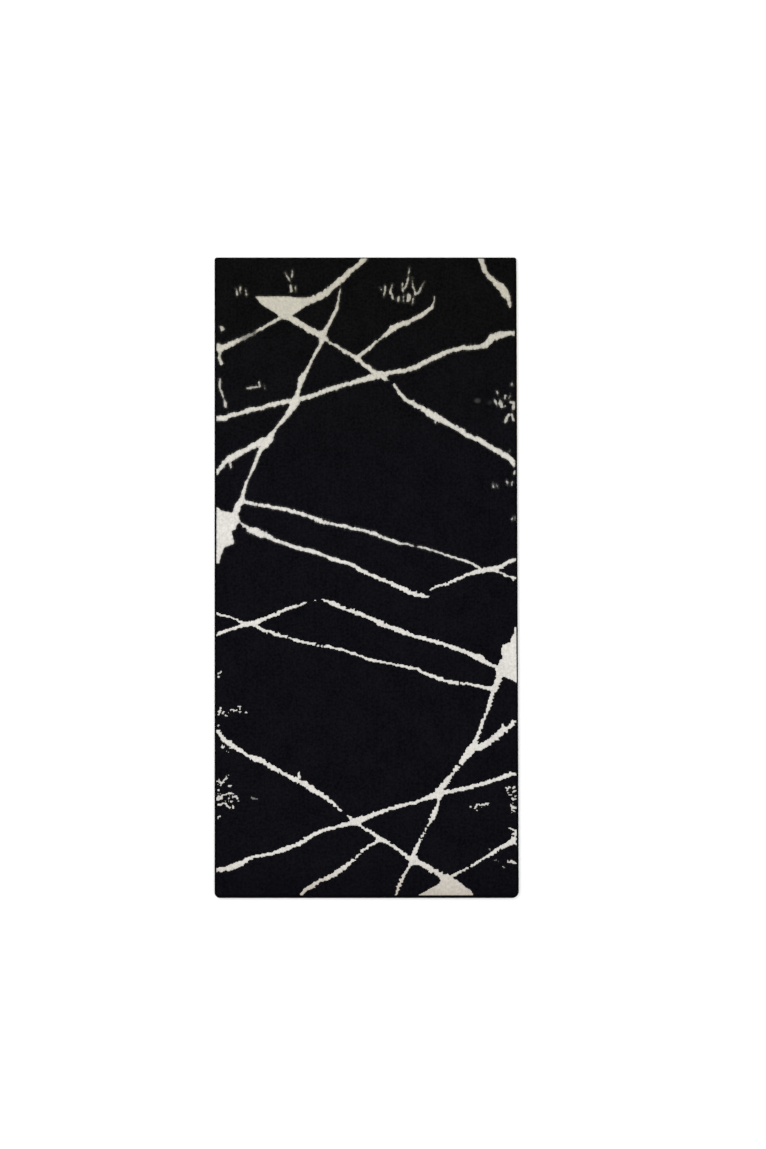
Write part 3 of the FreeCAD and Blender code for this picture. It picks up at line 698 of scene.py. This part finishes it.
def toothed(seen, across, along, length):
    """Saw teeth along one side of the veins: a side gives way, then reaches out, every few tufts."""
    drift = TOOTH_DRIFT * smooth_noise(shape, (rows // 20, columns // 12), random)
    run = np.arange(columns)[None, :] if along else np.arange(rows)[:, None]
    saw = ((run + drift) / TOOTH_PITCH) % 1 - SAW_MIDDLE
    rough = ease(smooth_noise(shape, (rows // 12, columns // 10), random), -0.5, 0.3) * (1 - combed)
    reach = length * rough * saw
    looked = pale_at(x_mid + wander + across * reach, y_mid + wander + along * reach)
    changed = np.where(reach > 0, np.where(seen > 0, seen, looked), np.where(looked > 0, seen, 0))
    smooth_edged = np.isin(seen, PATCHES) | np.isin(looked, PATCHES)
    return np.where(smooth_edged | (reach == 0), seen, changed)


seen = pale_at(x_mid + wander + jag_x, y_mid + wander + jag_y + comb)
plain = pale_at(x_mid + 0.5 * wander, y_mid + 0.5 * wander)
seen = np.where(np.isin(seen, PATCHES) | np.isin(plain, PATCHES), plain, seen)
for across, along, length in TEETH:
    seen = toothed(seen, across, along, length)


def beside(pattern, test):
    """How many of the four tufts next to each one pass a test."""
    around = np.pad(test(pattern), 1)
    return around[:-2, 1:-1].astype(int) + around[2:, 1:-1] + around[1:-1, :-2] + around[1:-1, 2:]


hole = (seen == 0) & (beside(seen, lambda k: k > 0) >= 3) & (combed < 1)
filling = np.maximum.reduce([np.roll(seen, shift, axis) for shift in (1, -1) for axis in (0, 1)])
seen = np.where(hole & ~np.isin(filling, FLECKS), filling, seen)
stray = (seen > 0) & (beside(seen, lambda k: k > 0) == 0) & ~np.isin(seen, FLECKS)
seen = np.where(stray, 0, seen)
yarn = np.where(seen > 0, seen, dark_map[:rows, :columns])

for name, radius in CORNER_RADIUS.items():
    end, side = name.split("_")
    pile_radius = radius - (edge_width[end] + edge_width[side]) / 2
    middle, out_x, out_y = from_corner(name, x_mid, y_mid)
    yarn[(out_x > 0) & (out_y > 0) & (np.hypot(out_x, out_y) > pile_radius + 0.4 * TUFT)] = 0

# Where two tufts of one yarn meet only at a corner, one more beside them is changed to join them
MOST_SWEEPS = 12
for sweep in range(MOST_SWEEPS):
    a, b, c, d = yarn[:-1, :-1], yarn[:-1, 1:], yarn[1:, :-1], yarn[1:, 1:]
    touching = (a == d) & (a != b) & (a != c)
    crossing = (b == c) & (b != a) & (b != d)
    if not (touching | crossing).any():
        break
    b[touching] = a[touching]
    a[crossing & ~touching] = b[crossing & ~touching]
is_pale = (yarn > 0) & (yarn <= len(PATTERN_NODES))
print("pale share:", round(float(is_pale.mean()), 4), "after", sweep, "sweeps")

# %% [markdown]
# ## The shape of the pile
# Seen close, cut pile is a field of small blunt tips with hollows between them. Each tuft is
# a low tip over four shared corners. Tips vary in height, the hollows are deeper between columns
# than between rows, and a faint valley runs where two colours meet, because those tufts part. At
# the rug's edges the pile rounds down. At the head end, and beside the pale patch on the right, it
# was brushed out over the binding and hides it. The points between two colours also move towards
# their neighbours on that line, because tufts lean on each other and even out the stair.

# %% Points of the whole pile
HOLLOW = 1.0 * MM
TIP_VARIES = 0.35 * MM
SWELL = 0.35 * MM
SHOULDER = 10 * MM
LEAN = 0.4 * MM  # of the outer tufts, over the binding
BRUSHED_OUT = 3.2 * MM  # beside the pale patch on the right
BRUSHED_FROM = (-0.31, -0.27)  # along the rug, from not brushed out to fully
BRUSHED_TO = (0.04, 0.09)
DROPS = [1.5 * MM, 0.6 * MM, 0.15 * MM, 0.0]  # of the pile's top at the edge, then one tuft in, and so on
PARTING = 0.45 * MM
CORNER_VARIES = 0.25 * MM
CORNER_WANDERS = 0.22 * MM
TIP_WANDERS = 0.35 * MM
grid = (rows + 1, columns + 1)
v = np.linspace(0, 1, rows + 1)[:, None]
u = np.linspace(0, 1, columns + 1)[None, :]
y_corner = np.broadcast_to(field_low[1] + (field_high[1] - field_low[1]) * v, grid)
x_corner = field_low[0] + (right_of_field(y_corner) - field_low[0]) * u


def brushed(x, y):
    """How far the pile's tips lean outwards at a place near the edge, in x and y."""
    to_right = ease(right_of_field(y) - x, SHOULDER, 0)
    to_left = ease(x - field_low[0], SHOULDER, 0)
    to_head = ease(field_high[1] - y, SHOULDER, 0)
    to_foot = ease(y - field_low[1], SHOULDER, 0)
    beside_patch = ease(y, *BRUSHED_FROM) * (1 - ease(y, *BRUSHED_TO))
    lean_x = to_right * (LEAN + BRUSHED_OUT * beside_patch) - to_left * LEAN
    lean_y = to_head * (edge_width["head"] - 0.3 * MM) - to_foot * 0.5 * MM
    return lean_x, lean_y


def inner(count, length):
    """Counts cells in from both ends of a line: 0 at the ends, then 1, 2 and so on."""
    k = np.arange(count)
    return np.minimum(k, length - k)


steps_in = np.minimum(inner(rows + 1, rows)[:, None], inner(columns + 1, columns)[None, :])
edge_drop = np.choose(np.minimum(steps_in, len(DROPS) - 1), DROPS)


def drawn_straight(x, y, is_pale, amount):
    """Moves the points between two colours towards their neighbours on the line between them."""
    is_pale = np.pad(is_pale, 1, mode="edge")
    flat = is_pale[:-1, 1:-1] != is_pale[1:, 1:-1]  # from each point to the next one across
    upright = is_pale[1:-1, :-1] != is_pale[1:-1, 1:]  # and to the next one along
    result = []
    links = sum(np.pad(flat, ((0, 0), (k, 1 - k))).astype(int) for k in (0, 1))
    links = links + sum(np.pad(upright, ((k, 1 - k), (0, 0))).astype(int) for k in (0, 1))
    for value in (x, y):
        total = np.zeros(value.shape)
        total[:, :-1] += flat * value[:, 1:]
        total[:, 1:] += flat * value[:, :-1]
        total[:-1] += upright * value[1:]
        total[1:] += upright * value[:-1]
        result.append(np.where(links == 2, value + amount * (total / np.maximum(links, 1) - value), value))
    return result


evened = 0.12 + 0.44 * ease(y_corner, *COMBED_FROM)
for turn in range(3):
    x_corner, y_corner = drawn_straight(x_corner, y_corner, is_pale, evened)
padded_yarn = np.pad(yarn, 1, mode="edge")
a, b, c, d = padded_yarn[:-1, :-1], padded_yarn[:-1, 1:], padded_yarn[1:, :-1], padded_yarn[1:, 1:]
pale_count = sum(((q > 0) & (q <= len(PATTERN_NODES))).astype(int) for q in (a, b, c, d))
parting = np.where((pale_count > 0) & (pale_count < 4), PARTING, 0.0)
swell = SWELL * smooth_noise(grid, (18, 9), random)
z_corner = pile_top - HOLLOW - edge_drop - parting + swell - CORNER_VARIES * random.uniform(0, 1, grid)
lean_x, lean_y = brushed(x_corner, y_corner)
moved = CORNER_WANDERS * (steps_in > 0)
corner_xyz = np.stack([
    x_corner + lean_x + moved * random.uniform(-1, 1, grid),
    y_corner + lean_y + moved * random.uniform(-1, 1, grid),
    z_corner,
], -1)
foot_xyz = np.stack([x_corner, y_corner, np.full(grid, cloth_top)], -1)

middle = (corner_xyz[:-1, :-1] + corner_xyz[:-1, 1:] + corner_xyz[1:, :-1] + corner_xyz[1:, 1:]) / 4
tip_drop = edge_drop[:-1, :-1] + edge_drop[1:, 1:] + edge_drop[:-1, 1:] + edge_drop[1:, :-1]
tip_xyz = middle + TIP_WANDERS * random.uniform(-1, 1, middle.shape)
tip_xyz[..., 2] = pile_top - tip_drop / 4 + swell[:-1, :-1] - SWELL - TIP_VARIES * random.uniform(0, 1, shape)
tip_xyz[..., 2] = np.minimum(tip_xyz[..., 2], middle[..., 2] + HOLLOW)
print("pile from", round(z_corner.min() / MM, 2), "to", round(tip_xyz[..., 2].max() / MM, 2), "mm")

# %% How pale each tuft is
THIN_PLACES = (  # x, y, size in metres and what is left of the pale yarn there
    (-0.312, 0.642, 0.028, 0.45), (-0.298, -0.583, 0.022, 0.32), (0.327, -0.716, 0.008, 0.40),
    (0.341, -0.746, 0.014, 0.22), (0.365, -0.761, 0.008, 0.35), (0.384, 0.511, 0.012, 0.6),
    (0.150, 0.776, 0.010, 0.5),
)
FAINT_MARKS = (  # x, y, size in metres and how much pale yarn is among the dark there
    (0.292, 0.467, 0.009, 0.06), (0.324, 0.462, 0.008, 0.02),
)
fleck = np.isin(yarn, FLECKS)
pale_beside = beside(is_pale, lambda k: k)
rim = is_pale & (pale_beside < 4)
chance = random.uniform(0, 1, shape)
dark_in_pale = 0.10
dark_in_rim = 0.12 + 0.5 * combed
pale_in_dark = 0.01 + 0.07 * combed
combed_fleck = np.where(pale_beside < 3, 0.12 + 0.22 * chance, 0.55 + 0.30 * chance)
crisp_fleck = 0.72 + 0.25 * chance
tip_shade = np.where(is_pale, 1.0 - chance * dark_in_pale, 0.0)
tip_shade = np.where(rim, 1.0 - chance * dark_in_rim, tip_shade)
tip_shade = np.where(fleck, combed_fleck * combed + crisp_fleck * (1 - combed), tip_shade)
tip_shade = np.where(~is_pale & (pale_beside > 0), chance * pale_in_dark, tip_shade)
for x, y, size, share in THIN_PLACES:
    near = 1 - ease(np.hypot(x_mid - x, y_mid - y), 0.5 * size, 1.2 * size)
    tip_shade = np.where(is_pale, tip_shade * (1 - near * (1 - share)), tip_shade)
for x, y, size, share in FAINT_MARKS:
    near = 1 - ease(np.hypot(0.75 * (x_mid - x), y_mid - y), 0.2 * size, size)
    tip_shade = np.where(is_pale, tip_shade, np.maximum(tip_shade, near * share))
print("mean shade of pale tufts:", round(float(tip_shade[is_pale].mean()), 3))

# %% [markdown]
# ## One piece for each area of pile
# Every vein, patch and field is its own closed mesh: tips on top, a flat underside on the ground
# cloth, and walls round its outline. Neighbours share their upper outline exactly, so no floor
# shows between them, and their feet stand a little apart, as tufts of two yarns do.

# %% Cut the pile into its pieces
corner_id = np.arange((rows + 1) * (columns + 1)).reshape(grid)
corner_total = corner_id.size
tip_id = np.arange(rows * columns).reshape(shape) + corner_total
all_top = np.concatenate([corner_xyz.reshape(-1, 3), tip_xyz.reshape(-1, 3)])
feet = foot_xyz.reshape(-1, 3)
middles = ((foot_xyz[:-1, :-1] + foot_xyz[1:, 1:]) / 2).reshape(-1, 3)
FOOT_GAP = 0.12  # of the way in to the middle of the tuft, by which a rim's foot stands back


def around_cells(mask):
    """The four corners of each chosen cell, anticlockwise."""
    quarters = (corner_id[:-1, :-1], corner_id[:-1, 1:], corner_id[1:, 1:], corner_id[1:, :-1])
    return [part[mask] for part in quarters]


def pile_piece(value, node):
    mask = yarn == value
    p, q, r, s = around_cells(mask)
    tip = tip_id[mask]
    edges = np.concatenate([np.stack([m, n], -1) for m, n in ((p, q), (q, r), (r, s), (s, p))])
    total = np.int64(corner_total)
    forward = edges[:, 0] * total + edges[:, 1]
    backward = edges[:, 1] * total + edges[:, 0]
    rim_edges = edges[~np.isin(forward, backward)]
    used = np.unique(np.concatenate([p, q, r, s]))
    place = np.full(corner_total, -1)
    place[used] = np.arange(len(used))
    n_used, n_tip = len(used), len(tip)
    tip_place = np.arange(n_tip) + n_used
    top = np.stack([place[edges[:, 0]], place[edges[:, 1]], np.tile(tip_place, 4)], -1)
    below = n_used + n_tip
    under = np.stack([place[s], place[r], place[q], place[p]], -1) + below
    m, n = place[rim_edges[:, 0]], place[rim_edges[:, 1]]
    walls = np.stack([n, m, m + below, n + below], -1)
    pull = np.zeros((corner_total, 3))
    hits = np.zeros(corner_total)
    cell = np.flatnonzero(mask.ravel())
    for corner in (p, q, r, s):
        np.add.at(pull, corner, middles[cell])
        np.add.at(hits, corner, 1)
    on_rim = np.unique(rim_edges)
    low = feet.copy()
    low[on_rim] += FOOT_GAP * (pull[on_rim] / hits[on_rim, None] - feet[on_rim])
    points = np.concatenate([all_top[used], all_top[tip], low[used]])
    tips = tip_shade[mask]
    gathered = np.zeros(corner_total)
    for corner in (p, q, r, s):
        np.add.at(gathered, corner, tips)
    corner_shade = gathered[used] / hits[used]
    shade = np.concatenate([corner_shade, tips, corner_shade])
    slot = "black_pile" if node.startswith("dark_") else "cream_pile"
    return make_piece(f"pile_{node}", points, [top, under, walls], [node], slot, (True, False, False), shade)


pile_pieces = [pile_piece(k + 1, node) for k, node in enumerate(names)]
faces = [len(piece.data.polygons) for piece in pile_pieces]
print("pile pieces:", len(pile_pieces), "faces:", sum(faces), "largest:", max(faces))

# %% [markdown]
# ## What the cloths are
# The three sheets were cut before they were bound.

# %% [markdown]
# ## Floor, light and camera
# A pale plain floor and two large soft lights, as in a studio. The camera hangs straight above the
# rug. One light is broad and overhead, and a weaker one stands off to the head end on the left, so
# that the tips have a lit side.

# %% Set the stage
floor_finish = bpy.data.materials.new("floor")
floor_finish.use_nodes = True
floor_shader = floor_finish.node_tree.nodes["Principled BSDF"]
floor_shader.inputs["Base Color"].default_value = (0.92, 0.92, 0.92, 1)
floor_shader.inputs["Roughness"].default_value = 1.0
floor_shader.inputs["Specular IOR Level"].default_value = 0.0
FLOOR_HALF = 30.0
FLOOR_GAP = 0.1 * MM
mesh = bpy.data.meshes.new("floor")
square = [(x * FLOOR_HALF, y * FLOOR_HALF) for x, y in ((-1, -1), (1, -1), (1, 1), (-1, 1))]
mesh.from_pydata([(x, y, float(cad_low[2]) - FLOOR_GAP) for x, y in square], [], [(0, 1, 2, 3)])
mesh.materials.append(floor_finish)
floor = bpy.data.objects.new("floor", mesh)
bpy.context.scene.collection.objects.link(floor)

ROOM_LIGHT = 0.8  # white light from all round
world = bpy.data.worlds.new("room")
bpy.context.scene.world = world
world.use_nodes = True
world.node_tree.nodes["Background"].inputs["Color"].default_value = (1.0, 1.0, 1.0, 1)
world.node_tree.nodes["Background"].inputs["Strength"].default_value = ROOM_LIGHT


def soft_light(name, place, size, power):
    """A square area light that looks at the middle of the rug."""
    data = bpy.data.lights.new(name, "AREA")
    data.shape = "SQUARE"
    data.size = size
    data.energy = power
    light = bpy.data.objects.new(name, data)
    light.location = place
    to_rug = -light.location
    light.rotation_euler = to_rug.to_track_quat("-Z", "Y").to_euler()
    bpy.context.scene.collection.objects.link(light)


soft_light("overhead", place=(0.0, 0.0, 5.6), size=4.0, power=105.0)
soft_light("side", place=(-3.4, 2.6, 3.0), size=2.0, power=70.0)

CAMERA_HEIGHT = 4.5
FRAME_HEIGHT = 3.029  # of the floor that the camera takes in, along the rug
CAMERA_AIM = (0.043, 0.0087)  # across and along the rug
camera_data = bpy.data.cameras.new("camera")
camera_data.sensor_width = 36.0
camera_data.lens = camera_data.sensor_width * CAMERA_HEIGHT / FRAME_HEIGHT
camera = bpy.data.objects.new("camera", camera_data)
camera.location = (*CAMERA_AIM, pile_top + CAMERA_HEIGHT)
bpy.context.scene.collection.objects.link(camera)
bpy.context.scene.camera = camera
bpy.context.scene.view_settings.view_transform = "Standard"
print("lens:", round(camera_data.lens, 1), "mm")
